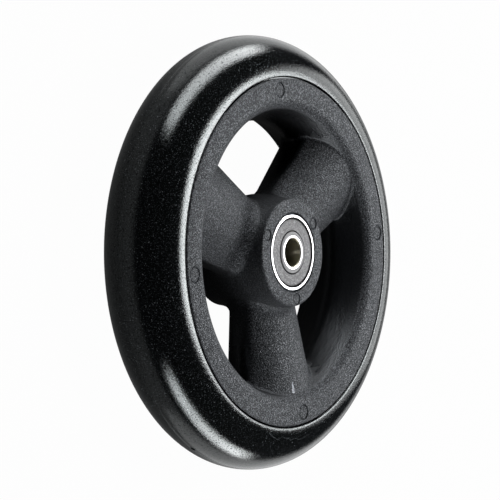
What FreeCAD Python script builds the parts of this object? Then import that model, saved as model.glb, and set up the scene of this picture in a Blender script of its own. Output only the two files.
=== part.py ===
import FreeCAD, Part
import Sketcher
import math
import os
import re

# Castor wheel. The wheel's axis is Z, its centre is the origin, and one spoke points along X.
# Lengths are in millimetres and angles in degrees.

# Driving sizes: name, value, what it is
SIZES = [
    ("wheel_diameter", 125, "over the tread"),
    ("tyre_width", 24.2, "diameter of the tyre's round section"),
    ("tyre_joint_gap", 0.3, "groove that shows between tyre and flange"),
    ("tyre_fit", 0.02, "tyre to channel, in the seat"),
    ("rim_width", 24.4, "over both flanges"),
    ("rim_diameter", 99.3, "over the flange edges"),
    ("flange_thickness", 2.4, "side wall of the tyre channel"),
    ("channel_diameter", 89, "floor of the tyre channel"),
    ("bead_groove_diameter", 83.4, "floor of the groove for the tyre's bead"),
    ("bead_groove_width", 8, "groove for the tyre's bead"),
    ("lip_diameter", 83.4, "mouth of the bowl, where its wall would meet the flange's face"),
    ("lip_rounding", 3.4, "edge of the bowl's mouth"),
    ("waist_diameter", 75.2, "narrowest part of the bowl, at mid plane"),
    ("waist_rounding", 8, "parting line of the drafted walls"),
    ("flange_edge_rounding", 0.4, "outer edge of each flange"),
    ("hub_length", 25, "over the boss and the inner rings"),
    ("boss_diameter", 30.8, "at the boss's end faces"),
    ("boss_edge_rounding", 0.5, "outer edge of the boss's end faces"),
    ("spoke_count", 3, "spokes"),
    ("spoke_root_thickness", 14, "along the axis, over the crowns beside the boss"),
    ("spoke_end_thickness", 20.2, "along the axis, over the crowns beside the rim"),
    ("spoke_end_sink", 2.1, "least depth of the crown below the flange's face"),
    ("spoke_flank_share", 0.27, "flank's share of the crown's height"),
    ("spoke_root_width", 24.2, "at mid plane, beside the boss"),
    ("spoke_end_width", 30.6, "at mid plane, beside the rim"),
    ("draft", 7.5, "slope of the boss's wall and of the spokes' sides"),
    ("spoke_edge_rounding", 3.3, "long edges of the spokes"),
    ("spoke_root_blend", 4, "fillet from boss to spoke"),
    ("spoke_end_blend", 1, "fillet from spoke to rim"),
    ("blend_margin", 0.4, "least wall left between a blend and the next rounded edge"),
    ("mark_depth", 0.15, "ejector pin marks"),
    ("flange_mark_diameter", 4, "ejector pin marks on the flange"),
    ("flange_mark_circle", 92.8, "pitch circle of those marks"),
    ("flange_mark_count", 4, "marks on the flange"),
    ("flange_mark_angle", 58.8, "first mark from the spoke"),
    ("boss_mark_diameter", 3, "ejector pin marks on the boss"),
    ("boss_mark_circle", 26.9, "pitch circle of those marks"),
    ("bearing_bore", 8, "608 size ball bearing"),
    ("bearing_diameter", 22, "608 size ball bearing"),
    ("bearing_width", 7, "608 size ball bearing"),
    ("bearing_fit", 0.01, "outer ring to seat"),
    ("seat_shoulder_diameter", 18.6, "hole between the two bearing seats"),
    ("seat_chamfer", 0.25, "lead-in of the bearing seats"),
    ("ring_chamfer", 0.3, "edges of the bearing's rings"),
    ("ball_diameter", 3.969, "5/32 inch balls"),
    ("ball_circle", 15, "pitch circle of the balls"),
    ("ball_count", 7, "balls in each bearing"),
    ("race_radius", 2.06, "section of the raceways"),
    ("race_clearance", 0.04, "ball to raceway"),
    ("inner_ring_shoulder", 12.1, "diameter beside the inner raceway"),
    ("outer_ring_shoulder", 18.2, "diameter beside the outer raceway"),
    ("shield_recess_diameter", 19.8, "recess that holds a shield"),
    ("shield_recess_depth", 0.8, "from the ring's face"),
    ("shield_thickness", 0.3, "pressed sheet"),
    ("shield_sink", 0.25, "shield's face below the ring's face"),
    ("shield_fold_width", 0.45, "turned edge of the shield"),
    ("shield_gap", 0.12, "shield to inner ring"),
    ("shield_fit", 0.01, "shield to recess"),
    ("cage_inner_diameter", 13.3, "crown cage"),
    ("cage_outer_diameter", 16.8, "crown cage"),
    ("cage_base", 0.35, "cage wall behind the balls"),
    ("cage_finger_height", 1, "cage past the balls' centres"),
    ("cage_clearance", 0.1, "ball to cage pocket"),
    ("spacer_diameter", 12, "outside of the spacer sleeve"),
    ("spacer_chamfer", 0.4, "edges of the spacer sleeve"),
]

doc = FreeCAD.newDocument("CastorWheel")
sheet = doc.addObject("Spreadsheet::Sheet", "Sizes")
for row, (alias, value, meaning) in enumerate(SIZES, start=1):
    sheet.set(f"A{row}", alias)
    sheet.set(f"B{row}", str(value))
    sheet.set(f"C{row}", meaning)
    sheet.setAlias(f"B{row}", alias)
doc.recompute()

ALIASES = {alias for alias, value, meaning in SIZES}


def cells(formula):
    """The formula with each size's name pointing at its cell in the sheet."""
    return re.sub(r"[a-z_]+", lambda word: "Sizes." + word[0] if word[0] in ALIASES else word[0], formula)


def size(formula):
    """The formula's value with the sizes as they stand."""
    return float(sheet.evalExpression(cells(formula)))


def bind(item, prop, formula):
    item.setExpression(prop, cells(formula))


def plane(body, role):
    """One of the body's own origin planes or axes."""
    return next(item for item in body.Origin.OriginFeatures if item.Role == role)


def new_body(label):
    body = doc.addObject("PartDesign::Body", "Body_" + label)
    body.Label = label
    return body


def new_sketch(body, name, role, lift=None):
    """A sketch on an origin plane, lifted off it by a formula where one is given."""
    sketch = body.newObject("Sketcher::SketchObject", name)
    sketch.AttachmentSupport = [(plane(body, role), "")]
    sketch.MapMode = "FlatFace"
    if lift:
        bind(sketch, "AttachmentOffset.Base.z", lift)
        doc.recompute()
    return sketch


def constrain(sketch, name, formula, *constraint):
    """Add one constraint whose value is a formula of the sheet's sizes."""
    index = sketch.addConstraint(Sketcher.Constraint(*constraint, size(formula)))
    sketch.renameConstraint(index, name)
    bind(sketch, "Constraints." + name, formula)


def outline(sketch, corners):
    """Close a loop through the corners, each an x and a y formula. A corner may add a side
    ("left" or "right") and a radius: then an arc with its centre on that side of the way
    leads to the next corner, and "long" makes it the longer arc."""
    ends = []
    for here, there in zip(corners, corners[1:] + corners[:1]):
        start = FreeCAD.Vector(size(here[0]), size(here[1]), 0)
        stop = FreeCAD.Vector(size(there[0]), size(there[1]), 0)
        if len(here) == 2:
            index = sketch.addGeometry(Part.LineSegment(start, stop), False)
            ends.append((index, 1, 2))
            continue
        side, radius = here[2], size(here[3])
        along = stop - start
        across = FreeCAD.Vector(-along.y, along.x, 0).normalize()
        reach = math.sqrt(max(radius ** 2 - (along.Length / 2) ** 2, 0))
        if (side == "right") != (here[-1] == "long"):
            reach = -reach
        centre = (start + stop) * 0.5 + across * reach
        first, last = (start, stop) if side == "left" else (stop, start)
        turn = [math.atan2(p.y - centre.y, p.x - centre.x) for p in (first, last)]
        circle = Part.Circle(centre, FreeCAD.Vector(0, 0, 1), radius)
        index = sketch.addGeometry(Part.ArcOfCircle(circle, *turn), False)
        ends.append((index, 1, 2) if side == "left" else (index, 2, 1))
    for (index, start, stop), (after, after_start, after_stop) in zip(ends, ends[1:] + ends[:1]):
        sketch.addConstraint(Sketcher.Constraint("Coincident", index, stop, after, after_start))
    for number, (corner, (index, start, stop)) in enumerate(zip(corners, ends)):
        for letter, kind, axis, formula in zip("xy", ("DistanceX", "DistanceY"), (-2, -1), corner):
            if formula == "0":
                sketch.addConstraint(Sketcher.Constraint("PointOnObject", index, start, axis))
            else:
                constrain(sketch, f"{letter}{number}", formula, kind, index, start)
        if len(corner) > 2:
            constrain(sketch, f"radius{number}", corner[3], "Radius", index)
    doc.recompute()


def turned(body, kind, name, corners):
    """Add or cut the solid that the outline sweeps round the axis. It starts opposite the
    first spoke, so that its seam lies in a window."""
    sketch = new_sketch(body, name + "Profile", "XZ_Plane")
    half_turn = FreeCAD.Rotation(FreeCAD.Vector(0, 1, 0), 180)
    sketch.AttachmentOffset = FreeCAD.Placement(FreeCAD.Vector(), half_turn)
    outline(sketch, corners)
    feature = body.newObject("PartDesign::" + kind, name)
    feature.Profile = sketch
    feature.ReferenceAxis = (sketch, ["V_Axis"])
    feature.Angle = 360
    doc.recompute()
    return feature


def repeated(body, name, feature, count):
    """Repeat a feature evenly round the axis."""
    pattern = body.newObject("PartDesign::PolarPattern", name)
    pattern.Originals = [feature]
    pattern.Axis = (plane(body, "Z_Axis"), [""])
    pattern.Angle = 360
    bind(pattern, "Occurrences", count)
    body.Tip = pattern
    doc.recompute()
    return pattern


def rounded(body, kind, name, edges, prop, formula):
    """Round or bevel the edges of the body's tip that the test picks."""
    base = body.Tip
    picked = [f"Edge{n}" for n, edge in enumerate(base.Shape.Edges, start=1) if edges(edge)]
    if not picked:
        raise RuntimeError(name + " finds no edges")
    feature = body.newObject("PartDesign::" + kind, name)
    feature.Base = (base, picked)
    bind(feature, prop, formula)
    doc.recompute()
    return feature


def mirrored(corners):
    """Corners on the upper side, then their mirror images on the lower side. An arc that a
    corner starts is started by the mirror image of the corner that it ends at."""
    lower = []
    for corner, before in zip(reversed(corners), list(reversed(corners))[1:] + [None]):
        arc = before[2:] if before else ()
        lower.append((corner[0], f"-({corner[1]})") + tuple(arc))
    return corners + lower


def samples(edge, count=5):
    """Points along an edge, ends included, as radius and height."""
    first, last = edge.ParameterRange
    points = [edge.valueAt(first + (last - first) * n / (count - 1)) for n in range(count)]
    return [(math.hypot(p.x, p.y), p.z) for p in points]


def level(edge):
    heights = [z for r, z in samples(edge)]
    return max(heights) - min(heights) < 1e-4


NEAR = 0.01


def circle_at(diameter, height):
    """Test for the edges on one circle round the axis, on both sides of mid plane."""
    radius, lift = size(diameter) / 2, size(height)

    def test(edge):
        return all(abs(r - radius) < NEAR and abs(abs(z) - lift) < NEAR for r, z in samples(edge))
    return test


def crossing(wall, face):
    """Test for the edges where a spoke meets a round wall, given as radius at a height."""
    top = size(face)

    def test(edge):
        points = samples(edge)
        return not level(edge) and all(abs(z) < top and abs(r - wall(abs(z))) < NEAR for r, z in points)
    return test


# Drafted walls with a rounded parting line at mid plane

BOWL_DRAFT = "atan((lip_diameter - waist_diameter)/rim_width)"

# The rounding of the bowl's mouth: how far it starts from the mouth, and its centre

LIP_REACH = f"(lip_rounding*(1 - sin({BOWL_DRAFT}))/cos({BOWL_DRAFT}))"
LIP_MIDDLE_X = f"(lip_diameter/2 + {LIP_REACH})"
LIP_MIDDLE_Z = "(rim_width/2 - lip_rounding)"


def parting(edge_x, draft, side):
    """Where the rounding starts on a wall that would reach edge_x at mid plane. The wall
    leans by draft, towards smaller x on an outside wall and larger x on a bowl's wall."""
    sign = "-" if side == "outside" else "+"
    centre = f"({edge_x} {sign} waist_rounding/cos({draft}))"
    back = "+" if side == "outside" else "-"
    return f"{centre} {back} waist_rounding*cos({draft})", f"waist_rounding*sin({draft})"


def parting_radius(edge_x, draft, side):
    """The same wall's radius as a function of the height above mid plane."""
    tip, slope, rounding = size(edge_x), math.tan(math.radians(size(draft))), size("waist_rounding")
    lip_x, lip_z, lip_radius = size(LIP_MIDDLE_X), size(LIP_MIDDLE_Z), size("lip_rounding")
    sign = -1 if side == "outside" else 1
    centre = tip + sign * rounding / math.cos(math.atan(slope))
    limit = rounding * math.sin(math.atan(slope))

    def wall(height):
        if height < limit:
            return centre - sign * math.sqrt(rounding ** 2 - height ** 2)
        if side == "bowl" and height > lip_z + lip_radius * math.sin(math.atan(slope)):
            return lip_x - math.sqrt(lip_radius ** 2 - (height - lip_z) ** 2)
        return tip + sign * slope * height
    return wall


def make_tyre():
    """Solid tyre of round section with a stepped base that fills the rim's channel."""
    section = "tyre_width/2"
    circle_middle = "(wheel_diameter/2 - tyre_width/2)"
    edge = "(rim_diameter/2 + tyre_joint_gap)"
    ledge = "(rim_diameter/2 + tyre_fit)"
    wall = "(rim_width/2 - flange_thickness - tyre_fit)"
    floor = "(channel_diameter/2 + tyre_fit)"
    bead = "(bead_groove_diameter/2 + tyre_fit)"
    bead_side = "(bead_groove_width/2 - tyre_fit)"
    start_height = f"sqrt(({section})^2 - ({circle_middle} - {edge})^2)"
    ledge_height = "(rim_width/2 - flange_thickness/2)"
    half = [
        (bead, bead_side), (floor, bead_side), (floor, wall), (ledge, wall),
        (ledge, ledge_height), (edge, ledge_height), (edge, start_height, "right", section, "long"),
    ]
    corners = mirrored(half)
    turned(new_body("tyre"), "Revolution", "Tyre", corners)


def spoke_section(body, name, width, crown, station):
    """Section of a spoke: crowned faces, drafted flanks, rounded edges and parting lines."""
    sketch = new_sketch(body, name, "YZ_Plane", station)
    half = f"({width}/2)"
    flank_y = f"({crown}*spoke_flank_share)"
    flank_x = f"({half} - {flank_y}*tan(draft))"
    edge_x = f"({flank_x} - spoke_edge_rounding*cos(draft))"
    edge_y = f"({flank_y} - spoke_edge_rounding*sin(draft))"
    # The crown's arc touches the edge's arc from outside
    rise = f"({crown} - {edge_y})"
    crown_radius = f"(({edge_x}^2 + {rise}^2 - spoke_edge_rounding^2)/(2*({rise} - spoke_edge_rounding)))"
    reach = f"({crown_radius}/({crown_radius} - spoke_edge_rounding))"
    corner_x = f"({edge_x}*{reach})"
    corner_y = f"({crown} - {crown_radius} + ({crown_radius} - {rise})*{reach})"
    part_x, part_y = parting(half, "draft", "outside")
    edge, waist = ("right", "spoke_edge_rounding"), ("right", "waist_rounding")
    right = [
        (corner_x, corner_y) + edge, (flank_x, flank_y), (part_x, part_y) + waist,
        (part_x, f"-({part_y})"), (flank_x, f"-{flank_y}") + edge,
        (corner_x, f"-{corner_y}", "right", crown_radius),
    ]
    left = [(f"-({x})", f"-({y})") + tuple(arc) for x, y, *arc in right]
    outline(sketch, right + left)
    return sketch


def fitting(blend, wall_height, slope, edge_rounding):
    """A blend's radius, less where the wall above the spoke is too low for it."""
    return f"min({blend}; ({wall_height} - blend_margin)/(1 - sin({slope})) - {edge_rounding})"


def make_hub():
    """One moulding: boss, three spokes, bowl-shaped rim, tyre channel and bearing seats."""
    body = new_body("wheel_hub")
    end = "hub_length/2"
    boss_edge = "(boss_diameter/2 + hub_length/2*tan(draft))"
    boss_x, boss_y = parting(boss_edge, "draft", "outside")
    half = [("0", end), ("boss_diameter/2", end), (boss_x, boss_y, "right", "waist_rounding")]
    turned(body, "Revolution", "Boss", mirrored(half))

    # The spoke starts inside the boss and ends inside the rim's wall
    span = "(waist_diameter/2 - boss_diameter/2)"
    root_crown = "(spoke_root_thickness/2)"
    end_crown = "min(spoke_end_thickness/2; rim_width/2 - spoke_end_sink)"
    start, stop = "boss_diameter/3", f"{LIP_MIDDLE_X}"
    sections = []
    for name, station in (("SpokeStart", start), ("SpokeEnd", stop)):
        along = f"(({station} - boss_diameter/2)/{span})"
        width = f"(spoke_root_width + (spoke_end_width - spoke_root_width)*{along})"
        crown = f"({root_crown} + ({end_crown} - {root_crown})*{along})"
        sections.append(spoke_section(body, name, width, crown, station))
    spoke = body.newObject("PartDesign::AdditiveLoft", "Spoke")
    spoke.Profile = sections[0]
    spoke.Sections = sections[1:]
    spoke.Ruled = True
    doc.recompute()
    repeated(body, "Spokes", spoke, "spoke_count")

    waist = "waist_diameter/2"
    bowl_x, bowl_y = parting(waist, BOWL_DRAFT, "bowl")
    face = "rim_width/2"
    lip_low_x = f"({LIP_MIDDLE_X} - lip_rounding*cos({BOWL_DRAFT}))"
    lip_low_z = f"({LIP_MIDDLE_Z} + lip_rounding*sin({BOWL_DRAFT}))"
    half = [("rim_diameter/2", face), (LIP_MIDDLE_X, face, "left", "lip_rounding"),
            (lip_low_x, lip_low_z), (bowl_x, bowl_y, "left", "waist_rounding")]
    turned(body, "Revolution", "Rim", mirrored(half))

    boss_wall = parting_radius(boss_edge, "draft", "outside")
    bowl_wall = parting_radius(waist, BOWL_DRAFT, "bowl")
    root_blend = fitting("spoke_root_blend", f"({end} - {root_crown})", "draft", "boss_edge_rounding")
    rounded(body, "Fillet", "SpokeRoots", crossing(boss_wall, end), "Radius", root_blend)
    rounded(body, "Fillet", "SpokeEnds", crossing(bowl_wall, face), "Radius", "spoke_end_blend")
    rounded(body, "Fillet", "FlangeEdges", circle_at("rim_diameter", face), "Radius", "flange_edge_rounding")
    rounded(body, "Fillet", "BossEdges", circle_at("boss_diameter", end), "Radius", "boss_edge_rounding")

    channel = "(rim_width/2 - flange_thickness)"
    bead = "bead_groove_width/2"
    half = [("rim_diameter", channel), ("channel_diameter/2", channel), ("channel_diameter/2", bead),
            ("bead_groove_diameter/2", bead)]
    turned(body, "Groove", "TyreChannel", mirrored(half))

    seat_floor = "(hub_length/2 - bearing_width)"
    seat = "(bearing_diameter/2 + bearing_fit)"
    half = [("0", f"{end} + seat_chamfer"), (f"{seat} + 2*seat_chamfer", f"{end} + seat_chamfer"),
            (seat, f"{end} - seat_chamfer"), (seat, seat_floor), ("seat_shoulder_diameter/2", seat_floor)]
    turned(body, "Groove", "BearingSeats", mirrored(half))

    marks = (("FlangeMark", "flange_mark_circle", "flange_mark_diameter", "flange_mark_angle", face,
              "flange_mark_count"),
             ("BossMark", "boss_mark_circle", "boss_mark_diameter", "0", end, "spoke_count"))
    for name, ring, diameter, angle, height, count in marks:
        sketch = new_sketch(body, name + "Circle", "XY_Plane", height)
        x, y = f"{ring}/2*cos({angle})", f"{ring}/2*sin({angle})"
        middle = FreeCAD.Vector(size(x), size(y), 0)
        circle = Part.Circle(middle, FreeCAD.Vector(0, 0, 1), size(diameter) / 2)
        index = sketch.addGeometry(circle, False)
        constrain(sketch, "across", diameter, "Diameter", index)
        constrain(sketch, "x", x, "DistanceX", index, 3)
        if angle == "0":
            sketch.addConstraint(Sketcher.Constraint("PointOnObject", index, 3, -1))
        else:
            constrain(sketch, "y", y, "DistanceY", index, 3)
        mark = body.newObject("PartDesign::Pocket", name)
        mark.Profile = sketch
        bind(mark, "Length", "mark_depth")
        doc.recompute()
        repeated(body, name + "s", mark, count)


def make_spacer():
    """Tube between the inner rings."""
    half_length = "(hub_length/2 - bearing_width)"
    outer, bore = "spacer_diameter/2", "bearing_bore/2"
    half = [(bore, f"{half_length} - spacer_chamfer"), (f"{bore} + spacer_chamfer", half_length),
            (f"{outer} - spacer_chamfer", half_length), (outer, f"{half_length} - spacer_chamfer")]
    turned(new_body("spacer_sleeve"), "Revolution", "Spacer", mirrored(half))


def outer_ring_corners():
    """Outer ring with its raceway and a recess at each face for a shield."""
    face, outer = "bearing_width/2", "bearing_diameter/2"
    shoulder, recess = "outer_ring_shoulder/2", "shield_recess_diameter/2"
    race_middle = "(ball_circle/2 + ball_diameter/2 + race_clearance - race_radius)"
    race_edge = f"sqrt(race_radius^2 - ({shoulder} - {race_middle})^2)"
    recess_floor = f"({face} - shield_recess_depth)"
    return mirrored([
        (outer, f"{face} - ring_chamfer"), (f"{outer} - ring_chamfer", face), (recess, face),
        (recess, recess_floor), (shoulder, recess_floor), (shoulder, race_edge, "right", "race_radius"),
    ])


def inner_ring_corners():
    """Inner ring with its raceway."""
    face, bore, shoulder = "bearing_width/2", "bearing_bore/2", "inner_ring_shoulder/2"
    race_middle = "(ball_circle/2 - ball_diameter/2 - race_clearance + race_radius)"
    race_edge = f"sqrt(race_radius^2 - ({race_middle} - {shoulder})^2)"
    return mirrored([
        (bore, f"{face} - ring_chamfer"), (f"{bore} + ring_chamfer", face),
        (f"{shoulder} - ring_chamfer", face), (shoulder, f"{face} - ring_chamfer"),
        (shoulder, race_edge, "left", "race_radius"),
    ])


def shield_corners(side):
    """Pressed shield: a flat washer with its outer edge turned down into the recess."""
    top = "(bearing_width/2 - shield_sink)"
    under = f"({top} - shield_thickness)"
    floor = "(bearing_width/2 - shield_recess_depth + shield_fit)"
    outer = "(shield_recess_diameter/2 - shield_fit)"
    fold = f"({outer} - shield_fold_width)"
    inner = "(inner_ring_shoulder/2 + shield_gap)"
    corners = [(inner, under), (inner, top), (outer, top), (outer, floor), (fold, floor), (fold, under)]
    if side == "inner":
        corners = [(x, f"-({y})") for x, y in corners]
    return corners


def make_cage(label):
    """Crown cage: a ring with a round pocket for each ball, open on one side."""
    body = new_body(label)
    inner, outer = "cage_inner_diameter/2", "cage_outer_diameter/2"
    pocket = "(ball_diameter/2 + cage_clearance)"
    base = f"-({pocket} + cage_base)"
    turned(body, "Revolution", "Ring", [
        (inner, base), (outer, base), (outer, "cage_finger_height"), (inner, "cage_finger_height"),
    ])
    ball_seat = body.newObject("PartDesign::SubtractiveSphere", "Pocket")
    bind(ball_seat, "Radius", pocket)
    bind(ball_seat, "Placement.Base.x", "ball_circle/2")
    doc.recompute()
    repeated(body, "Pockets", ball_seat, "ball_count")
    return body


def make_balls(prefix, height, side):
    count = int(size("ball_count"))
    for number in range(count):
        ball = doc.addObject("Part::Sphere", f"{prefix}_ball_{number + 1}")
        ball.Label = f"{prefix}_ball_{number + 1}"
        bind(ball, "Radius", "ball_diameter/2")
        bind(ball, "Placement.Base.x", f"ball_circle/2*cos(360/ball_count*{number})")
        bind(ball, "Placement.Base.y", f"{side}*ball_circle/2*sin(360/ball_count*{number})")
        bind(ball, "Placement.Base.z", height)


def make_bearing(prefix, side):
    """One bearing in its seat. The rear one is the front one turned over about X."""
    height = f"{side}*(hub_length/2 - bearing_width/2)"
    rings = (("outer_ring", outer_ring_corners()), ("inner_ring", inner_ring_corners()),
             ("outer_shield", shield_corners("outer")), ("inner_shield", shield_corners("inner")))
    bodies = []
    for part_name, corners in rings:
        body = new_body(f"{prefix}_{part_name}")
        turned(body, "Revolution", "Ring", corners)
        bodies.append(body)
    bodies.append(make_cage(f"{prefix}_ball_cage"))
    turned_over = FreeCAD.Rotation(FreeCAD.Vector(1, 0, 0), 180)
    for body in bodies:
        if side < 0:
            body.Placement = FreeCAD.Placement(FreeCAD.Vector(), turned_over)
        bind(body, "Placement.Base.z", height)
    make_balls(prefix, height, side)


make_tyre()
make_hub()
make_spacer()
make_bearing("front", 1)
make_bearing("rear", -1)
doc.recompute()

for item in doc.Objects:
    if "Invalid" in item.State or "Error" in item.State:
        raise RuntimeError(f"{item.Label} did not recompute: {item.State}")

pieces = [item for item in doc.Objects if item.TypeId in ("PartDesign::Body", "Part::Sphere")]
for piece in pieces:
    if piece.Shape.isNull() or not piece.Shape.isValid() or len(piece.Shape.Solids) != 1:
        raise RuntimeError(f"{piece.Label} is not one valid solid")

os.makedirs("parts", exist_ok=True)
for piece in pieces:
    piece.Shape.exportStep(f"parts/{piece.Label}.step")
    print(f"{piece.Label}: {piece.Shape.Volume:.1f} mm3")
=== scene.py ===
import math
from collections import namedtuple

import bmesh
import bpy
from mathutils import Matrix, Vector


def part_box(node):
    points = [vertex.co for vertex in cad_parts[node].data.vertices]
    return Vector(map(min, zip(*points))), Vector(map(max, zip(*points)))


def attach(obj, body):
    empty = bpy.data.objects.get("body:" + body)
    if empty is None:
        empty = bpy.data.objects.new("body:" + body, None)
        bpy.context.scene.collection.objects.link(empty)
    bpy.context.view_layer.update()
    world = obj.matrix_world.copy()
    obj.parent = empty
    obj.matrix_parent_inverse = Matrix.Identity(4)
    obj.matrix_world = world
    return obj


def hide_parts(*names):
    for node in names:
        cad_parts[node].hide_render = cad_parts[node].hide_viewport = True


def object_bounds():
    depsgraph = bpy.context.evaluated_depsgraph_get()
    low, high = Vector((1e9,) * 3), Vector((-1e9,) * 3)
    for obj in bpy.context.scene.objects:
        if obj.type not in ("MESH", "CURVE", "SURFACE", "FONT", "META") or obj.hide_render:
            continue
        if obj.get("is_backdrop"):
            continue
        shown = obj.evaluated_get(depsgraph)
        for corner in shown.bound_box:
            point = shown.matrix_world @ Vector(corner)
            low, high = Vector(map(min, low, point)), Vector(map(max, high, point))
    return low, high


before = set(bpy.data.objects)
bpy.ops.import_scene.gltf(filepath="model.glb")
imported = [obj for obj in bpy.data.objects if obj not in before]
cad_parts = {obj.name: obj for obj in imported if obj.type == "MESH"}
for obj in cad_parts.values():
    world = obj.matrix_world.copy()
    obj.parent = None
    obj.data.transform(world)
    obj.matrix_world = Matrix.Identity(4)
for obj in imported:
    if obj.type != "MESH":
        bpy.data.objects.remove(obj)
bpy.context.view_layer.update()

bl_info = {
    "name": "Castor Wheel",
    "version": (1, 0, 0),
    "blender": (4, 5, 0),
    "location": "3D View > Sidebar > Castor Wheel",
    "description": "Dresses the castor wheel's solids and sets up its studio",
    "category": "Object",
}

MM = 0.001

# The camera looks down on the wheel, which lies on its side, and is rolled so that the
# wheel's plane stands upright in the picture.
PICTURE_RIGHT = Vector((0.4508, -0.3599, 0.8168))
PICTURE_UP = Vector((0.6239, 0.7815, 0.0))
TO_CAMERA = Vector((-0.6383, 0.5096, 0.5769))

# The tyre's seat in the rim, as the solids have it
FLANGE_RADIUS = 49.65 * MM
CHANNEL_RADIUS = 44.5 * MM
BEAD_RADIUS = 41.7 * MM
RIM_HALF_WIDTH = 12.2 * MM
FLANGE_WALL = 2.4 * MM
BEAD_HALF_WIDTH = 4 * MM
JOINT_GAP = 0.3 * MM
TYRE_FIT = 0.02 * MM

# From here the marks are for the materials, in millimetres, and in degrees round the axle from +X.

PinCircle = namedtuple("PinCircle", "pitch_diameter outline_diameter first_angle number")
PIN_CIRCLES = [PinCircle(26.9, 3.2, 0, 3), PinCircle(92.8, 4.2, 58.8, 4)]

# Painted shade in the bearing's seat: the hub is dark up to the first radius, and its own colour past the
# second
SEAT_SHADE_RADIUS, PAST_SEAT_SHADE_RADIUS = 11.3, 11.6

# The steep walls are smoother, and darker with painted shade, far from the boss
BOSS_REACH, BOWL_REACH = 20, 30

# Dust is thickest beside the rim and thins out over the tyre's side
RIM_REACH, DUST_END_REACH = 50, 56

# One thin scuff on the tyre beside the rim
SCUFF_ANGLES = (-142, -117)
SCUFF_REACHES = (52.4, 54)
SCUFF_WANDER = 3.2
SCUFF_HALF_WIDTH = 0.16

# A nick at the outer end of a spoke, painted pale as a highlight: where it starts, and its direction
NICK_HIGHLIGHT_START = (-20.31, -31.1)
NICK_HIGHLIGHT_DIRECTION = (-0.647, -0.763)
NICK_HIGHLIGHT_HALF_WIDTH = 0.1
NICK_HIGHLIGHT_WIDENING = 0.12

# A dark nick on the tread's parting line
PARTING_NICK_ANGLE = -158.1
TREAD_REACH = 60

# Radii on the bearing's face where its tone changes; the dark bands between them are painted shade in the
# grooves and gaps of the rings and shields
BORE_EDGE = 4.18
RACE_LINE_START, RACE_LINE_END = 4.86, 5.02
RACE_EDGE = 5.9
SHIELD_START, SHIELD_END = 6.3, 9.42
RING_START = 10.08
PAST_RING = 12
ZONE_BLEND = 0.06

# The hub's own attribute for its material: 1 on faces square to the axle, 0 on walls along it
LEAN = "face_lean"

# Colour sockets of a Mix node, whose names are shared with its other sockets
MIX_FIRST, MIX_SECOND, MIX_RESULT = 6, 7, 2

# Most of a noise's values lie between these
NOISE_LOW, NOISE_HIGH = 0.3, 0.7


# Settings that a user would change

def length(name, description, default):
    return bpy.props.FloatProperty(name=name, description=description, default=default,
                                   min=0, unit="LENGTH", subtype="DISTANCE", precision=5)


def colour(name, description, default):
    return bpy.props.FloatVectorProperty(name=name, description=description, default=default,
                                         size=3, min=0, max=1, subtype="COLOR")


def share(name, description, default):
    return bpy.props.FloatProperty(name=name, description=description, default=default,
                                   min=0, max=1, subtype="FACTOR")


def plain(name, description, default):
    return bpy.props.FloatProperty(name=name, description=description, default=default, min=0)


def count(name, description, default):
    return bpy.props.IntProperty(name=name, description=description, default=default, min=3)


class CastorTyreSettings(bpy.types.PropertyGroup):
    """Sizes and finish of the solid tyre"""
    steps: count("Steps round", "Steps of the spin round the axle", 384)
    arc_steps: count("Steps over the tread", "Faces over the round part of the section", 72)
    section_diameter: length("Section diameter", "Diameter of the tyre's round section", 24.2 * MM)
    lip_rounding: length("Lip rounding", "Edge of the tyre beside the rim", 0.5 * MM)
    seam_width: length("Seam width", "Parting line of the mould round the tread", 0.3 * MM)
    seam_depth: length("Seam depth", "Depth of the parting line", 0.1 * MM)
    rubber: colour("Rubber", "Colour of the tyre", (0.003, 0.0033, 0.0035))
    tint: colour("Tint", "Colour of the rubber's shine", (0.92, 0.99, 1.0))
    roughness: share("Roughness", "Gloss of the tyre's skin", 0.08)
    grain_size: length("Grain size", "Fine grain of the mould's surface", 0.42 * MM)
    grain_depth: length("Grain depth", "Depth of that grain", 0.03 * MM)
    # The pale specks are painted glints on the grain
    glint_speck_share: share("Speck share", "A higher share gives fewer pale specks", 0.6)
    pit_size: length("Pit size", "Small pits that give back no light", 0.462 * MM)
    pit_share: share("Pit share", "A higher share gives fewer pits", 0.56)
    pit_darkness: share("Pit darkness", "How much light the pits keep back", 0.75)


class CastorHubSettings(bpy.types.PropertyGroup):
    """Finish of the moulded hub"""
    nylon: colour("Nylon", "Colour of the hub", (0.006, 0.0063, 0.007))
    tint: colour("Tint", "Colour of the nylon's shine", (0.88, 0.94, 1.0))
    shine: share("Shine", "Specular level of the nylon", 0.45)
    roughness: share("Roughness", "Dullness of the spark-eroded surface", 0.6)
    smooth_roughness: share("Smooth roughness", "Dullness of the steep walls", 0.24)
    grain_size: length("Grain size", "Spark-eroded grain", 0.62 * MM)
    grain_depth: length("Grain depth", "Depth of the grain", 0.2 * MM)
    # The pale specks are painted glints on the grain
    glint_speck_share: share("Speck share", "A higher share gives fewer pale specks", 0.52)
    pit_size: length("Pit size", "Small pits that give back no light", 0.3596 * MM)
    pit_share: share("Pit share", "A higher share gives fewer pits", 0.52)
    pit_darkness: share("Pit darkness", "How much light the pits keep back", 0.75)
    merge_distance: length("Merge distance", "Vertices of the copied solid nearer than this are one",
                           0.001 * MM)
    smooth_angle: bpy.props.FloatProperty(
        name="Smooth angle", description="Edges sharper than this stay sharp",
        default=math.radians(28), subtype="ANGLE")


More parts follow.
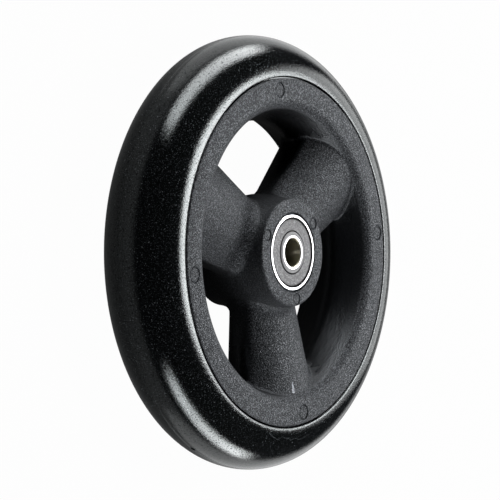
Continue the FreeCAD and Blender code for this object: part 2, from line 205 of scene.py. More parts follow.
class CastorMetalSettings(bpy.types.PropertyGroup):
    """Finish of the bearings and the spacer sleeve"""
    ring_steel: colour("Ring steel", "Ground and polished rings", (0.46, 0.46, 0.47))
    ring_roughness: share("Ring roughness", "Polish of the rings", 0.16)
    shield_steel: colour("Shield steel", "Pressed shields", (0.37, 0.37, 0.376))
    shield_roughness: share("Shield roughness", "Dull coat of the shields", 0.85)
    shield_grain: length("Shield grain", "Speckle of the shields' coat", 0.5 * MM)
    # Painted shade for the grooves and gaps between the bearings' rings and shields
    painted_gap_shade: colour("Painted recess shade", "Shaded edges and steps of the rings", (0.03, 0.03, 0.03))
    bore_steel: colour("Bore steel", "Yellowish bore", (0.5, 0.47, 0.36))
    bore_roughness: share("Bore roughness", "Polish of the bore", 0.32)
    ball_steel: colour("Ball steel", "Polished balls", (0.75, 0.75, 0.77))
    cage_plastic: colour("Cage plastic", "Crown cages", (0.55, 0.5, 0.38))
    cage_roughness: share("Cage roughness", "Dullness of the cages", 0.45)
    cage_grain: length("Cage grain", "Fine grain of the cages", 0.4 * MM)
    sleeve_metal: colour("Sleeve metal", "Turned spacer sleeve", (0.62, 0.62, 0.64))
    sleeve_roughness: share("Sleeve roughness", "Polish of the sleeve", 0.28)
    turning_pitch: length("Turning pitch", "Spacing of the turning lines", 0.11 * MM)
    pressing_pitch: length("Pressing pitch", "Spacing of the lines on the shields", 0.165 * MM)


class CastorStageSettings(bpy.types.PropertyGroup):
    """Floor, lamps and camera"""
    floor_size: length("Floor size", "Side of the square floor", 6.0)
    floor_white: share("Floor white", "Share of the picture's white that the floor adds itself", 0.98)
    floor_mirrored: share("Floor mirrored", "Share of that white that mirrors and glass see", 0.02)
    floor_bounce: share("Floor bounce", "Light that the floor gives back to the wheel", 0.3)
    room: colour("Room", "Dim light of the room round the stage", (0.018, 0.02, 0.022))
    camera_distance: length("Camera distance", "Camera to the wheel's centre", 0.5857)
    lens: plain("Lens", "Focal length in millimetres on a sensor 36 mm wide", 145.95)
    shift_x: bpy.props.FloatProperty(name="Shift X", description="Framing, sideways", default=-0.0146)
    shift_y: bpy.props.FloatProperty(name="Shift Y", description="Framing, upwards", default=0.0048)
    main_level: plain("Main light", "Radiance of the softbox beside the wheel", 14.0)
    side_level: plain("Side light", "Radiance of the card behind the main light", 2.6)
    card_level: plain("Cards", "Radiance of the cards that lie beside the wheel", 0.7)
    upper_level: plain("Upper light", "Radiance of the long softbox at the picture's top", 9.0)
    lower_level: plain("Lower light", "Radiance of the long softbox at the picture's foot", 10.6)


# Small helpers for shader nodes

def new_material(name):
    material = bpy.data.materials.new(name)
    material.use_nodes = True
    tree = material.node_tree
    return material, tree, tree.nodes["Principled BSDF"]


def node(tree, kind, name="", **values):
    item = tree.nodes.new(kind)
    item.label = name
    for key, value in values.items():
        setattr(item, key, value)
    return item


def give(tree, socket, value):
    """Set a plain number on a socket, or link what another node puts out."""
    if isinstance(value, (int, float)):
        socket.default_value = value
    else:
        tree.links.new(value, socket)


def maths(tree, operation, *values, clamp=False):
    item = node(tree, "ShaderNodeMath", operation=operation, use_clamp=clamp)
    for socket, value in zip(item.inputs, values):
        give(tree, socket, value)
    return item.outputs[0]


def product(tree, first, *others):
    for value in others:
        first = maths(tree, "MULTIPLY", first, value)
    return first


def opposite(tree, value):
    return maths(tree, "SUBTRACT", 1.0, value)


def mapped(tree, value, low, high, new_low, new_high):
    """A value from one range taken to another, and held at its ends."""
    item = node(tree, "ShaderNodeMapRange")
    tree.links.new(value, item.inputs["Value"])
    item.inputs["From Min"].default_value = low
    item.inputs["From Max"].default_value = high
    item.inputs["To Min"].default_value = new_low
    item.inputs["To Max"].default_value = new_high
    return item.outputs["Result"]


def between(tree, value, at_nothing, at_one):
    return mapped(tree, value, 0, 1, at_nothing, at_one)


def varied(tree, noise_value, low, high):
    return mapped(tree, noise_value, NOISE_LOW, NOISE_HIGH, low, high)


def past(tree, value, threshold, steepness):
    """0 up to a threshold, then rising to 1."""
    above = maths(tree, "SUBTRACT", value, threshold)
    return maths(tree, "MULTIPLY", above, steepness, clamp=True)


def thin_line(tree, distance, half_width):
    """1 where the distance is nothing, falling to 0 at the half width."""
    off = maths(tree, "DIVIDE", maths(tree, "ABSOLUTE", distance), half_width)
    return maths(tree, "SUBTRACT", 1.0, off, clamp=True)


def squares_added(tree, first, second):
    return maths(tree, "ADD", product(tree, first, first), product(tree, second, second))


def shade(tree, tone, metal_or_paint):
    """A colour made lighter or darker by a tone that varies over the surface."""
    item = node(tree, "ShaderNodeVectorMath", operation="SCALE")
    if isinstance(metal_or_paint, bpy.types.NodeSocket):
        tree.links.new(metal_or_paint, item.inputs[0])
    else:
        item.inputs[0].default_value = tuple(metal_or_paint)
    tree.links.new(tone, item.inputs["Scale"])
    return item.outputs["Vector"]


def object_place(tree):
    return node(tree, "ShaderNodeTexCoord").outputs["Object"]


def noise(tree, name, frequency, detail=2.0, roughness=0.5, place=None):
    texture = node(tree, "ShaderNodeTexNoise", name)
    tree.links.new(place or object_place(tree), texture.inputs["Vector"])
    give(tree, texture.inputs["Scale"], frequency)
    texture.inputs["Detail"].default_value = detail
    texture.inputs["Roughness"].default_value = roughness
    return texture.outputs["Fac"]


def from_axle(tree):
    """Object coordinates, and the distance from the axle's line, in millimetres."""
    scaled = node(tree, "ShaderNodeVectorMath", "Millimetres", operation="SCALE")
    tree.links.new(object_place(tree), scaled.inputs[0])
    scaled.inputs["Scale"].default_value = 1 / MM
    parts = node(tree, "ShaderNodeSeparateXYZ")
    tree.links.new(scaled.outputs["Vector"], parts.inputs[0])
    x, y, z = (parts.outputs[axis] for axis in "XYZ")
    return x, y, z, maths(tree, "SQRT", squares_added(tree, x, y))


def front_side(tree, z):
    return maths(tree, "GREATER_THAN", z, 0.0)


def add_bump(tree, shader, height, depth):
    bump = node(tree, "ShaderNodeBump")
    bump.inputs["Strength"].default_value = 1.0
    bump.inputs["Distance"].default_value = depth
    tree.links.new(height, bump.inputs["Height"])
    tree.links.new(bump.outputs["Normal"], shader.inputs["Normal"])


def shared_group(name, inputs, outputs, fill):
    """The node group of this name, built on its first use: fill gives what it puts out, in order."""
    group = bpy.data.node_groups.get(name)
    if group:
        return group
    group = bpy.data.node_groups.new(name, "ShaderNodeTree")
    for label, default in inputs.items():
        socket = group.interface.new_socket(name=label, in_out="INPUT", socket_type="NodeSocketFloat")
        socket.default_value = default
    for label in outputs:
        group.interface.new_socket(name=label, in_out="OUTPUT", socket_type="NodeSocketFloat")
    given = group.nodes.new("NodeGroupInput").outputs
    result = group.nodes.new("NodeGroupOutput").inputs
    for label, value in zip(outputs, fill(group, given)):
        group.links.new(value, result[label])
    return group


def place_group(tree, group, **inputs):
    """Place a shared group with its own values, and hand over what it puts out."""
    item = node(tree, "ShaderNodeGroup", node_tree=group)
    for name, value in inputs.items():
        item.inputs[name.replace("_", " ")].default_value = value
    return item.outputs


# Node groups for the effects of the finishes

def moulded_grain():
    """Pitted grain of a spark-eroded mould, and a mask of fine specks, which the tyre and the hub paint
    pale as painted glints.
    """
    def fill(group, given):
        pit_density, speck_density, pit_height = 1.6, 1.9, 0.45
        frequency = given["Frequency"]
        coarse = noise(group, "Grain", frequency, detail=2.5, roughness=0.6)
        pits = node(group, "ShaderNodeTexVoronoi", "Pits")
        group.links.new(object_place(group), pits.inputs["Vector"])
        group.links.new(product(group, frequency, pit_density), pits.inputs["Scale"])
        height = maths(group, "MULTIPLY_ADD", pits.outputs["Distance"], pit_height, coarse)
        fine = noise(group, "Specks", product(group, frequency, speck_density), detail=1.0)
        specks = past(group, fine, given["Speck Share"], steepness=8.0)
        return height, specks, noise(group, "Cloud", frequency=90.0)

    return shared_group("Moulded Grain", {"Frequency": 2000.0, "Speck Share": 0.5},
                        ["Height", "Specks", "Cloud"], fill)


def turned_lines():
    """Fine lines round the axle, as grinding and turning leave them, and the distance from the axle."""
    def fill(group, given):
        *_, z, reach = from_axle(group)
        cut = node(group, "ShaderNodeCombineXYZ")
        group.links.new(reach, cut.inputs["X"])
        group.links.new(z, cut.inputs["Z"])
        lines = noise(group, "Lines", given["Frequency"], place=cut.outputs[0])
        return lines, varied(group, lines, 0.86, 1.1), reach

    return shared_group("Turned Lines", {"Frequency": 9.0}, ["Height", "Tone", "Reach"], fill)


def pin_marks_and_seat_shade():
    """Thin grooves round the ejector pin marks, and painted shade in the bearing's seat."""
    def fill(group, given):
        x, y, z, reach = from_axle(group)
        turn = maths(group, "ARCTAN2", y, x)
        grooves = []
        for circle in PIN_CIRCLES:
            half = math.pi / circle.number
            past_first = maths(group, "SUBTRACT", turn, math.radians(circle.first_angle))
            local = maths(group, "WRAP", past_first, half, -half)
            ahead = maths(group, "SUBTRACT", product(group, reach, maths(group, "COSINE", local)),
                          circle.pitch_diameter / 2)
            aside = product(group, reach, maths(group, "SINE", local))
            away = maths(group, "SQRT", squares_added(group, ahead, aside))
            off = maths(group, "SUBTRACT", away, circle.outline_diameter / 2)
            grooves.append(thin_line(group, off, given["Width"]))
        marks = product(group, maths(group, "MAXIMUM", *grooves), front_side(group, z))
        # Painted shade in the bearing's seat, where the gap between ring and hub lies in shade
        seat = mapped(group, reach, SEAT_SHADE_RADIUS, PAST_SEAT_SHADE_RADIUS, 1, 0)
        return [maths(group, "MAXIMUM", marks, seat)]

    return shared_group("Pin Marks And Seat Shade", {"Width": 0.42}, ["Groove"], fill)


def scuff_line(group, patches):
    """One thin wandering scuff beside the rim."""
    noise_middle, margin, strength = 0.5, math.radians(1), 1.8
    x, y, z, reach = from_axle(group)
    turn = maths(group, "ARCTAN2", y, x)
    start, end = (math.radians(angle) for angle in SCUFF_ANGLES)
    middle = mapped(group, turn, start, end, *SCUFF_REACHES)
    wander = maths(group, "SUBTRACT", noise(group, "Wander", frequency=320.0), noise_middle)
    path = maths(group, "MULTIPLY_ADD", wander, SCUFF_WANDER, middle)
    line = thin_line(group, maths(group, "SUBTRACT", reach, path), SCUFF_HALF_WIDTH)
    within = product(group, maths(group, "GREATER_THAN", turn, start + margin),
                     maths(group, "LESS_THAN", turn, end - margin))
    broken = mapped(group, patches, 0.4, 0.55, 0.2, 0.8)
    return product(group, line, within, front_side(group, z), broken, strength)


def clinging_dust():
    """Fine pale specks on the tyre, thickest beside the rim, and one scuff."""
    def fill(group, given):
        *_, reach = from_axle(group)
        specks = noise(group, "Dust", frequency=2600.0, detail=0.0)
        patches = noise(group, "Patches", frequency=60.0)
        near = mapped(group, reach, RIM_REACH, DUST_END_REACH, 0.1, 0.0)
        patch = mapped(group, patches, 0.35, 0.65, -0.04, 0.05)
        level = maths(group, "ADD", specks, maths(group, "ADD", near, patch))
        dust = past(group, level, given["Share"], steepness=12.0)
        return [maths(group, "MAXIMUM", dust, scuff_line(group, patches))]

    return shared_group("Clinging Dust", {"Share": 0.76}, ["Dust"], fill)


def dull_pits():
    """Small pits that give back no light, which make a highlight look grainy."""
    def fill(group, given):
        texture = noise(group, "Pits", given["Frequency"], detail=1.0)
        return [past(group, texture, given["Share"], steepness=9.0)]

    return shared_group("Dull Pits", {"Frequency": 2000.0, "Share": 0.57}, ["Pits"], fill)


def nick_highlight():
    """A short nick at the outer end of one spoke, which widens outwards, painted pale as a highlight."""
    def fill(group, given):
        x, y, z, _ = from_axle(group)
        right, up = NICK_HIGHLIGHT_DIRECTION
        x = maths(group, "SUBTRACT", x, NICK_HIGHLIGHT_START[0])
        y = maths(group, "SUBTRACT", y, NICK_HIGHLIGHT_START[1])
        along = maths(group, "ADD", product(group, x, right), product(group, y, up))
        across = maths(group, "SUBTRACT", product(group, y, right), product(group, x, up))
        half_width = maths(group, "MULTIPLY_ADD", along, NICK_HIGHLIGHT_WIDENING, NICK_HIGHLIGHT_HALF_WIDTH)
        inside = maths(group, "GREATER_THAN", half_width, maths(group, "ABSOLUTE", across))
        started = maths(group, "GREATER_THAN", along, 0.0)
        running = maths(group, "LESS_THAN", along, given["Length"])
        return [product(group, inside, started, running, front_side(group, z))]

    return shared_group("Nick Highlight", {"Length": 3.4}, ["Nick"], fill)


def parting_nick():
    """A small dark nick on the tread's parting line."""
    def fill(group, given):
        x, y, z, reach = from_axle(group)
        turn = maths(group, "SUBTRACT", maths(group, "ARCTAN2", y, x), math.radians(PARTING_NICK_ANGLE))
        along = maths(group, "DIVIDE", product(group, reach, turn), given["Length"])
        across = maths(group, "DIVIDE", z, given["Width"])
        # The squares add up to 0.25 on the nick's edge, which is blurred a little
        inside = mapped(group, squares_added(group, along, across), 0.16, 0.34, 1, 0)
        return [product(group, inside, maths(group, "GREATER_THAN", reach, TREAD_REACH))]

    return shared_group("Parting Nick", {"Length": 2.1, "Width": 1.1}, ["Nick"], fill)


def smooth_shaded_walls():
    """A mask of steep faces, where the hub is smoother and darker; the darkening is painted shade."""
    def fill(group, given):
        steepness, share_at_boss = 3.0, 0.55
        *_, reach = from_axle(group)
        lean = node(group, "ShaderNodeAttribute", attribute_type="GEOMETRY", attribute_name=LEAN)
        above = maths(group, "SUBTRACT", lean.outputs["Fac"], given["Least Draft"])
        smooth = maths(group, "SUBTRACT", 1.0, product(group, above, steepness), clamp=True)
        outward = mapped(group, reach, BOSS_REACH, BOWL_REACH, share_at_boss, 1.0)
        return [product(group, smooth, outward)]

    return shared_group("Steep Walls With Painted Shade", {"Least Draft": 0.3}, ["Smooth"], fill)


# Materials

def tyre_material(settings):
    """Glossy black rubber with the fine grain of its mould. Its pale specks are painted glints."""
    plain_tone, painted_glint_tone, dust_tone = 0.8, 14, 26
    material, tree, shader = new_material("Tyre Rubber")
    grain = place_group(tree, moulded_grain(), Frequency=1 / settings.grain_size,
                        Speck_Share=settings.glint_speck_share)
    pits = place_group(tree, dull_pits(), Frequency=1 / settings.pit_size, Share=settings.pit_share)["Pits"]
    dust = place_group(tree, clinging_dust())["Dust"]
    nick = place_group(tree, parting_nick())["Nick"]
    # The pale specks are painted glints; the dust and the scuff are the tyre's own
    tone = maths(tree, "MULTIPLY_ADD", dust, dust_tone,
                 between(tree, grain["Specks"], plain_tone, painted_glint_tone))
    tone = product(tree, tone, opposite(tree, nick))
    tree.links.new(shade(tree, tone, settings.rubber), shader.inputs["Base Color"])
    dull = varied(tree, grain["Cloud"], settings.roughness * 0.9, settings.roughness * 1.15)
    tree.links.new(maths(tree, "MAXIMUM", dull, nick), shader.inputs["Roughness"])
    shader.inputs["Specular Tint"].default_value = (*settings.tint, 1)
    dark = maths(tree, "MAXIMUM", product(tree, pits, settings.pit_darkness), nick)
    tree.links.new(dark, shader.inputs["Metallic"])
    add_bump(tree, shader, grain["Height"], settings.grain_depth)
    return material


def hub_material(settings):
    """Black nylon with a spark-eroded surface, which is smoother on steep walls. Painted light: a darker
    tone on steep walls and in the bearing's seat as painted shade, pale specks as painted glints, and a
    nick painted pale as a highlight.
    """
    painted_wall_shade_tone, plain_tone, painted_glint_tone, nick_highlight_tone = 0.4, 2.2, 16, 60
    wall_grain, groove_height = 0.3, 0.15
    material, tree, shader = new_material("Hub Nylon")
    grain = place_group(tree, moulded_grain(), Frequency=1 / settings.grain_size,
                        Speck_Share=settings.glint_speck_share)
    pits = place_group(tree, dull_pits(), Frequency=1 / settings.pit_size, Share=settings.pit_share)["Pits"]
    steep_smooth_shaded = place_group(tree, smooth_shaded_walls())["Smooth"]
    groove_and_seat_shade = place_group(tree, pin_marks_and_seat_shade())["Groove"]
    nick = place_group(tree, nick_highlight())["Nick"]
    rough = opposite(tree, steep_smooth_shaded)
    # Dark places are metal of no colour, which gives back next to nothing; in the bearing's seat this is
    # painted shade
    dark = maths(tree, "MAXIMUM", groove_and_seat_shade, product(tree, pits, rough, settings.pit_darkness))
    tree.links.new(dark, shader.inputs["Metallic"])
    # Steep walls get a darker tone, which is painted shade; the pale specks are painted glints
    tone = maths(tree, "MULTIPLY_ADD", rough, between(tree, grain["Specks"], plain_tone, painted_glint_tone),
                 painted_wall_shade_tone)
    # The nick's pale tone is a painted highlight on it
    tone = product(tree, maths(tree, "MULTIPLY_ADD", nick, nick_highlight_tone, tone), opposite(tree, dark))
    tree.links.new(shade(tree, tone, settings.nylon), shader.inputs["Base Color"])
    dull = between(tree, product(tree, grain["Specks"], rough),
                   settings.roughness * 1.15, settings.roughness * 0.6)
    smoother = product(tree, steep_smooth_shaded, maths(tree, "SUBTRACT", settings.smooth_roughness, dull))
    tree.links.new(maths(tree, "ADD", dull, smoother), shader.inputs["Roughness"])
    shader.inputs["Specular IOR Level"].default_value = settings.shine
    shader.inputs["Specular Tint"].default_value = (*settings.tint, 1)
    texture = product(tree, grain["Height"], between(tree, rough, wall_grain, 1))
    height = maths(tree, "SUBTRACT", texture, product(tree, groove_and_seat_shade, groove_height))
    add_bump(tree, shader, height, settings.grain_depth)
    return material


Zone = namedtuple("Zone", "start end metal roughness")


def turned_material(name, metal, roughness, pitch, depth, zones=(), speckle_size=0):
    """Bare metal with lines round the axle. A zone between two radii has its own tone and roughness."""
    material, tree, shader = new_material(name)
    lines = place_group(tree, turned_lines(), Frequency=MM / pitch)
    reach, tone = lines["Reach"], lines["Tone"]
    colour_now = shade(tree, tone, metal)
    dull = varied(tree, lines["Height"], roughness * 0.85, roughness * 1.2)
    for zone in zones:
        inside = product(tree, mapped(tree, reach, zone.start, zone.start + ZONE_BLEND, 0, 1),
                         mapped(tree, reach, zone.end, zone.end + ZONE_BLEND, 1, 0))
        blend = node(tree, "ShaderNodeMix", data_type="RGBA")
        tree.links.new(inside, blend.inputs["Factor"])
        tree.links.new(colour_now, blend.inputs[MIX_FIRST])
        tree.links.new(shade(tree, tone, zone.metal), blend.inputs[MIX_SECOND])
        colour_now = blend.outputs[MIX_RESULT]
        dull = maths(tree, "ADD", product(tree, dull, opposite(tree, inside)),
                     product(tree, inside, zone.roughness))
    if speckle_size:
        darker, lighter = 0.7, 1.35
        grain = place_group(tree, moulded_grain(), Frequency=1 / speckle_size, Speck_Share=0.5)
        colour_now = shade(tree, between(tree, grain["Specks"], darker, lighter), colour_now)
    tree.links.new(colour_now, shader.inputs["Base Color"])
    tree.links.new(dull, shader.inputs["Roughness"])
    shader.inputs["Metallic"].default_value = 1.0
    add_bump(tree, shader, lines["Height"], depth)
    return material


def ball_material(settings):
    """Lapped steel with a trace of grease."""
    material, tree, shader = new_material("Ball Steel")
    film = noise(tree, "Grease film", frequency=900.0)
    tree.links.new(varied(tree, film, 0.06, 0.2), shader.inputs["Roughness"])
    tree.links.new(shade(tree, varied(tree, film, 0.9, 1.0), settings.ball_steel),
                   shader.inputs["Base Color"])
    shader.inputs["Metallic"].default_value = 1.0
    return material


def cage_material(settings):
    """Moulded cage of natural nylon."""
    grain_depth = 0.01 * MM
    material, tree, shader = new_material("Cage Nylon")
    grain = place_group(tree, moulded_grain(), Frequency=1 / settings.cage_grain, Speck_Share=0.55)
    tone = varied(tree, grain["Cloud"], 0.88, 1.05)
    tree.links.new(shade(tree, tone, settings.cage_plastic), shader.inputs["Base Color"])
    shader.inputs["Roughness"].default_value = settings.cage_roughness
    add_bump(tree, shader, grain["Height"], grain_depth)
    return material


# Pieces

def finish_piece(mesh_data, name, material, body, nodes):
    """Put a finished mesh in the scene as the piece that stands for some CAD nodes."""
    piece = bpy.data.objects.new(name, mesh_data)
    bpy.context.scene.collection.objects.link(piece)
    mesh_data.materials.clear()
    mesh_data.materials.append(material)
    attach(piece, body)
    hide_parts(*nodes)


def dress(node_name, material):
    """Give a CAD node that shows as it is its finished material."""
    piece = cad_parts[node_name]
    if not piece.material_slots:
        piece.data.materials.append(material)
    for slot in piece.material_slots:
        slot.material = material


def tyre_section(settings):
    """Points round the tyre's section, as radius and height, and the corners that stay sharp."""
    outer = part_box("tyre")[1].x
    radius = settings.section_diameter / 2
    middle = outer - radius
    edge = FLANGE_RADIUS + JOINT_GAP
    ledge, ledge_height = FLANGE_RADIUS + TYRE_FIT, RIM_HALF_WIDTH - FLANGE_WALL / 2
    channel, channel_height = CHANNEL_RADIUS + TYRE_FIT, RIM_HALF_WIDTH - FLANGE_WALL - TYRE_FIT
    bead, bead_height = BEAD_RADIUS + TYRE_FIT, BEAD_HALF_WIDTH - TYRE_FIT
    points = [(bead, bead_height), (channel, bead_height), (channel, channel_height),
              (ledge, channel_height), (ledge, ledge_height), (edge, ledge_height)]
    sharp = list(points)
    # The lip's rounding touches the upright edge and the round section from inside
    rounding = settings.lip_rounding
    lip_x = edge + rounding
    lip_z = math.sqrt((radius - rounding) ** 2 - (lip_x - middle) ** 2)
    start = math.atan2(lip_z, lip_x - middle)
    lip_steps = 6
    for step in range(lip_steps + 1):
        angle = math.pi + (start - math.pi) * step / lip_steps
        points.append((lip_x + rounding * math.cos(angle), lip_z + rounding * math.sin(angle)))
    half_seam = settings.seam_width / 2 / radius
    steps = settings.arc_steps // 2
    for step in range(1, steps + 1):
        angle = start + (half_seam - start) * step / steps
        points.append((middle + radius * math.cos(angle), radius * math.sin(angle)))
    # The lower half mirrors the upper one across the seam
    seam = (outer - settings.seam_depth, 0.0)
    sharp.append(points[-1])
    sharp += [(x, -z) for x, z in sharp] + [seam]
    points += [seam] + [(x, -z) for x, z in reversed(points)]
    return points, sharp


def rounded(radius, height):
    """A point of the section in a form that can be looked up, to a tenth of a micrometre."""
    return round(radius, 7), round(height, 7)


def build_tyre(settings):
    """A spun skin with a rounded lip and the mould's parting line."""
    same_place = 1e-7
    points, sharp = tyre_section(settings)
    mesh = bmesh.new()
    corners = [mesh.verts.new((x, 0, z)) for x, z in points]
    loop = [mesh.edges.new(pair) for pair in zip(corners, corners[1:] + corners[:1])]
    bmesh.ops.spin(mesh, geom=corners + loop, cent=(0, 0, 0), axis=(0, 0, 1), dvec=(0, 0, 0),
                   angle=math.tau, steps=settings.steps, use_merge=True, use_duplicate=False)
    bmesh.ops.remove_doubles(mesh, verts=mesh.verts, dist=same_place)
    bmesh.ops.recalc_face_normals(mesh, faces=mesh.faces)
    for face in mesh.faces:
        face.smooth = True
    kept = {rounded(x, z) for x, z in sharp}
    for item in mesh.edges:
        first, last = (rounded(math.hypot(end.co.x, end.co.y), end.co.z) for end in item.verts)
        item.smooth = not (first == last and first in kept)
    data = bpy.data.meshes.new("tyre_skin")
    mesh.to_mesh(data)
    mesh.free()
    finish_piece(data, "tyre_skin", tyre_material(settings), "wheel", ["tyre"])


def build_hub(settings):
    """A merged and smooth-shaded copy of the hub's solid."""
    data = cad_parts["wheel_hub"].data.copy()
    data.name = "hub_moulding"
    mesh = bmesh.new()
    mesh.from_mesh(data)
    bmesh.ops.remove_doubles(mesh, verts=mesh.verts, dist=settings.merge_distance)
    bmesh.ops.dissolve_degenerate(mesh, edges=mesh.edges, dist=settings.merge_distance)
    for face in mesh.faces:
        face.smooth = True
    for item in mesh.edges:
        item.smooth = item.is_manifold and item.calc_face_angle(0) < settings.smooth_angle
    mesh.to_mesh(data)
    mesh.free()
    lean = data.attributes.new(LEAN, "FLOAT", "CORNER")
    lean.data.foreach_set("value", [abs(normal.vector.z) for normal in data.corner_normals])
    finish_piece(data, "hub_moulding", hub_material(settings), "wheel", ["wheel_hub"])


def finish_bearings(settings):
    """Dress every node of the two bearings, whose names start with front or rear."""
    ground_depth, pressed_depth = 0.0006 * MM, 0.001 * MM
    # The dark zones below are painted shade in the grooves and gaps between rings and shields
    dark, dull = settings.painted_gap_shade, settings.shield_roughness
    outer = turned_material(
        "Ring Steel", settings.ring_steel, settings.ring_roughness, settings.turning_pitch, ground_depth,
        [Zone(0, RING_START, dark, dull)])
    inner = turned_material(
        "Race Steel", settings.ring_steel, settings.ring_roughness, settings.turning_pitch, ground_depth,
        [Zone(0, BORE_EDGE, settings.bore_steel, settings.bore_roughness),
         Zone(RACE_LINE_START, PAST_RING, settings.shield_steel, dull),
         Zone(RACE_LINE_START, RACE_LINE_END, dark, dull),
         Zone(RACE_EDGE, PAST_RING, dark, dull)])
    shield = turned_material(
        "Shield Steel", settings.shield_steel, dull, settings.pressing_pitch, pressed_depth,
        [Zone(0, SHIELD_START, dark, dull), Zone(SHIELD_END, PAST_RING, dark, dull)],
        speckle_size=settings.shield_grain)
    ball = ball_material(settings)
    finishes = {"outer_ring": outer, "inner_ring": inner, "outer_shield": shield,
                "inner_shield": shield, "ball_cage": cage_material(settings)}
    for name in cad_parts:
        side, _, kind = name.partition("_")
        if side in ("front", "rear"):
            dress(name, finishes.get(kind, ball))


def finish_sleeve(settings):
    turned_depth = 0.002 * MM
    dress("spacer_sleeve", turned_material("Sleeve Metal", settings.sleeve_metal,
                                           settings.sleeve_roughness, settings.turning_pitch, turned_depth))


# Stage

def mix_shaders(tree, weight, first, second, output_kind):
    mix = node(tree, "ShaderNodeMixShader")
    for socket, value in zip(mix.inputs, (weight, first.outputs[0], second.outputs[0])):
        tree.links.new(value, socket)
    out = node(tree, output_kind)
    tree.links.new(mix.outputs[0], out.inputs["Surface"])


def floor_material(settings):
    """A pale floor that is white to the camera."""
    material = bpy.data.materials.new("Studio Floor")
    material.use_nodes = True
    tree = material.node_tree
    tree.nodes.clear()
    path = node(tree, "ShaderNodeLightPath")
    paint = node(tree, "ShaderNodeBsdfDiffuse")
    paint.inputs["Color"].default_value = (*[settings.floor_bounce] * 3, 1)
    seen = product(tree, path.outputs["Is Camera Ray"], settings.floor_white)
    mirrors = maths(tree, "MAXIMUM", path.outputs["Is Glossy Ray"], path.outputs["Is Transmission Ray"])
    weight = maths(tree, "MAXIMUM", seen, product(tree, mirrors, settings.floor_mirrored))
    mix_shaders(tree, weight, paint, node(tree, "ShaderNodeEmission"), "ShaderNodeOutputMaterial")
    return material


def build_floor(settings):
    mesh = bmesh.new()
    bmesh.ops.create_grid(mesh, x_segments=1, y_segments=1, size=settings.floor_size / 2,
                          matrix=Matrix.Translation((0, 0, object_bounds()[0].z)))
    data = bpy.data.meshes.new("floor")
    mesh.to_mesh(data)
    mesh.free()
    data.materials.append(floor_material(settings))
    floor = bpy.data.objects.new("floor", data)
    bpy.context.scene.collection.objects.link(floor)
    floor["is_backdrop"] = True


def build_world(settings):
    """A dim room that is white to the camera."""
    world = bpy.data.worlds.new("Studio")
    world.use_nodes = True
    bpy.context.scene.world = world
    tree = world.node_tree
    tree.nodes.clear()
    room = node(tree, "ShaderNodeBackground")
    room.inputs["Color"].default_value = (*settings.room, 1)
    white = node(tree, "ShaderNodeBackground")
    white.inputs["Color"].default_value = (1, 1, 1, 1)
    camera_ray = node(tree, "ShaderNodeLightPath").outputs["Is Camera Ray"]
    mix_shaders(tree, camera_ray, room, white, "ShaderNodeOutputWorld")


def build_camera(settings):
    data = bpy.data.cameras.new("camera")
    data.lens = settings.lens
    data.sensor_width = 36
    data.shift_x, data.shift_y = settings.shift_x, settings.shift_y
    data.clip_start, data.clip_end = 0.01, 20
    camera = bpy.data.objects.new("camera", data)
    bpy.context.scene.collection.objects.link(camera)
    turn = Matrix((PICTURE_RIGHT, PICTURE_UP, TO_CAMERA)).transposed().to_4x4()
    camera.matrix_world = Matrix.Translation(TO_CAMERA * settings.camera_distance) @ turn
    bpy.context.scene.camera = camera


def studio_lamp(name, place, facing, along, size, radiance):
    """A rectangular softbox in metres, whose first side runs along a direction."""
    lamp = bpy.data.lights.new(name, "AREA")
    lamp.shape = "RECTANGLE"
    lamp.size, lamp.size_y = size
    lamp.energy = radiance * lamp.size * lamp.size_y * math.pi
    item = bpy.data.objects.new(name, lamp)
    bpy.context.scene.collection.objects.link(item)
    z_axis = -facing.normalized()
    x_axis = (along - along.dot(z_axis) * z_axis).normalized()
    y_axis = z_axis.cross(x_axis)
    turn = Matrix((x_axis, y_axis, z_axis)).transposed().to_4x4()
    item.matrix_world = Matrix.Translation(place) @ turn
    item.visible_camera = False


def long_softbox(name, side, right, back, slope, size, radiance):
    """A long softbox over the wheel in the picture, with side 1, or under it, with side -1."""
    height = 0.5
    place = PICTURE_RIGHT * right + PICTURE_UP * height * side + TO_CAMERA * back
    along = PICTURE_RIGHT * slope + TO_CAMERA * math.sqrt(1 - slope ** 2)
    studio_lamp(name, place, PICTURE_UP * -side, along, size, radiance)


def side_softbox(name, angle, up, distance, size, radiance):
    """A softbox at the picture's right, turned round the wheel by an angle in degrees."""
    turn = math.radians(angle)
    aside = PICTURE_RIGHT * math.cos(turn) + TO_CAMERA * math.sin(turn)
    across = TO_CAMERA * math.cos(turn) - PICTURE_RIGHT * math.sin(turn)
    studio_lamp(name, aside * distance + PICTURE_UP * up, -aside, across, size, radiance)


def lying_card(name, side, radiance):
    """A card just over the floor, at the picture's top with side 1 and at its foot with side -1."""
    aside, ahead, above_floor, size = 0.14, 0.1, 1 * MM, (0.3, 0.14)
    along_floor = Vector((PICTURE_UP.y, -PICTURE_UP.x, 0))
    upwards = Vector((0, 0, 1))
    place = PICTURE_UP * aside * side + along_floor * ahead + upwards * (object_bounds()[0].z + above_floor)
    studio_lamp(name, place, upwards, along_floor, size, radiance)


def build_stage(settings):
    build_floor(settings)
    build_world(settings)
    long_softbox("upper_softbox", side=1, right=0.157, back=0.017, slope=-0.46, size=(0.69, 0.2),
                 radiance=settings.upper_level)
    long_softbox("lower_softbox", side=-1, right=0.132, back=0.062, slope=-0.32, size=(0.61, 0.15),
                 radiance=settings.lower_level)
    side_softbox("main_softbox", angle=-8, up=0.05, distance=0.7, size=(0.3, 0.3),
                 radiance=settings.main_level)
    side_softbox("side_card", angle=-34, up=0.1, distance=0.9, size=(0.42, 0.55),
                 radiance=settings.side_level)
    lying_card("upper_card", 1, settings.card_level)
    lying_card("lower_card", -1, settings.card_level)
    build_camera(settings)
    bpy.context.scene.view_settings.view_transform = "Standard"


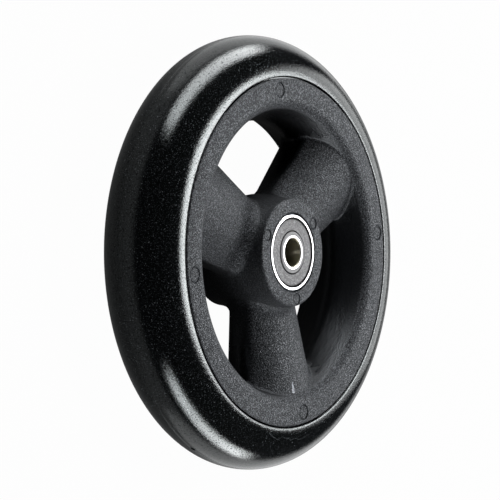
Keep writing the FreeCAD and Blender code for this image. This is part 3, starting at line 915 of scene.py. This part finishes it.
# Operators

class OBJECT_OT_castor_tyre(bpy.types.Operator):
    """Build the tyre's smooth skin in place of its solid"""
    bl_idname = "object.castor_tyre"
    bl_label = "Build Tyre"

    def execute(self, context):
        build_tyre(context.scene.castor_tyre)
        return {"FINISHED"}


class OBJECT_OT_castor_hub(bpy.types.Operator):
    """Smooth the moulded hub and give it its grain"""
    bl_idname = "object.castor_hub"
    bl_label = "Build Hub"

    def execute(self, context):
        build_hub(context.scene.castor_hub)
        return {"FINISHED"}


class OBJECT_OT_castor_bearings(bpy.types.Operator):
    """Give the bearings' rings, shields, cages and balls their finishes"""
    bl_idname = "object.castor_bearings"
    bl_label = "Finish Bearings"

    def execute(self, context):
        finish_bearings(context.scene.castor_metal)
        return {"FINISHED"}


class OBJECT_OT_castor_sleeve(bpy.types.Operator):
    """Give the spacer sleeve its turned finish"""
    bl_idname = "object.castor_sleeve"
    bl_label = "Finish Spacer Sleeve"

    def execute(self, context):
        finish_sleeve(context.scene.castor_metal)
        return {"FINISHED"}


class SCENE_OT_castor_stage(bpy.types.Operator):
    """Set up the floor, the lamps and the camera"""
    bl_idname = "scene.castor_stage"
    bl_label = "Build Stage"

    def execute(self, context):
        build_stage(context.scene.castor_stage)
        return {"FINISHED"}


PANEL_ROWS = [
    ("object.castor_tyre", "castor_tyre"),
    ("object.castor_hub", "castor_hub"),
    ("object.castor_bearings", "castor_metal"),
    ("object.castor_sleeve", "castor_metal"),
    ("scene.castor_stage", "castor_stage"),
]


class VIEW3D_PT_castor_wheel(bpy.types.Panel):
    """Lists the castor wheel's operators and sizes"""
    bl_label = "Castor Wheel"
    bl_idname = "VIEW3D_PT_castor_wheel"
    bl_space_type = "VIEW_3D"
    bl_region_type = "UI"
    bl_category = "Castor Wheel"

    def draw(self, context):
        for operator, settings in PANEL_ROWS:
            box = self.layout.box()
            box.operator(operator)
            group = getattr(context.scene, settings)
            for name in group.__annotations__:
                box.prop(group, name)


SETTINGS = {
    "castor_tyre": CastorTyreSettings,
    "castor_hub": CastorHubSettings,
    "castor_metal": CastorMetalSettings,
    "castor_stage": CastorStageSettings,
}

CLASSES = list(SETTINGS.values()) + [
    OBJECT_OT_castor_tyre, OBJECT_OT_castor_hub, OBJECT_OT_castor_bearings,
    OBJECT_OT_castor_sleeve, SCENE_OT_castor_stage, VIEW3D_PT_castor_wheel,
]


def register():
    for item in CLASSES:
        bpy.utils.register_class(item)
    for name, group in SETTINGS.items():
        setattr(bpy.types.Scene, name, bpy.props.PointerProperty(type=group))


def unregister():
    for name in SETTINGS:
        delattr(bpy.types.Scene, name)
    for item in reversed(CLASSES):
        bpy.utils.unregister_class(item)


def main():
    register()
    bpy.ops.object.castor_tyre()
    bpy.ops.object.castor_hub()
    bpy.ops.object.castor_bearings()
    bpy.ops.object.castor_sleeve()
    bpy.ops.scene.castor_stage()


if __name__ == "__main__":
    main()
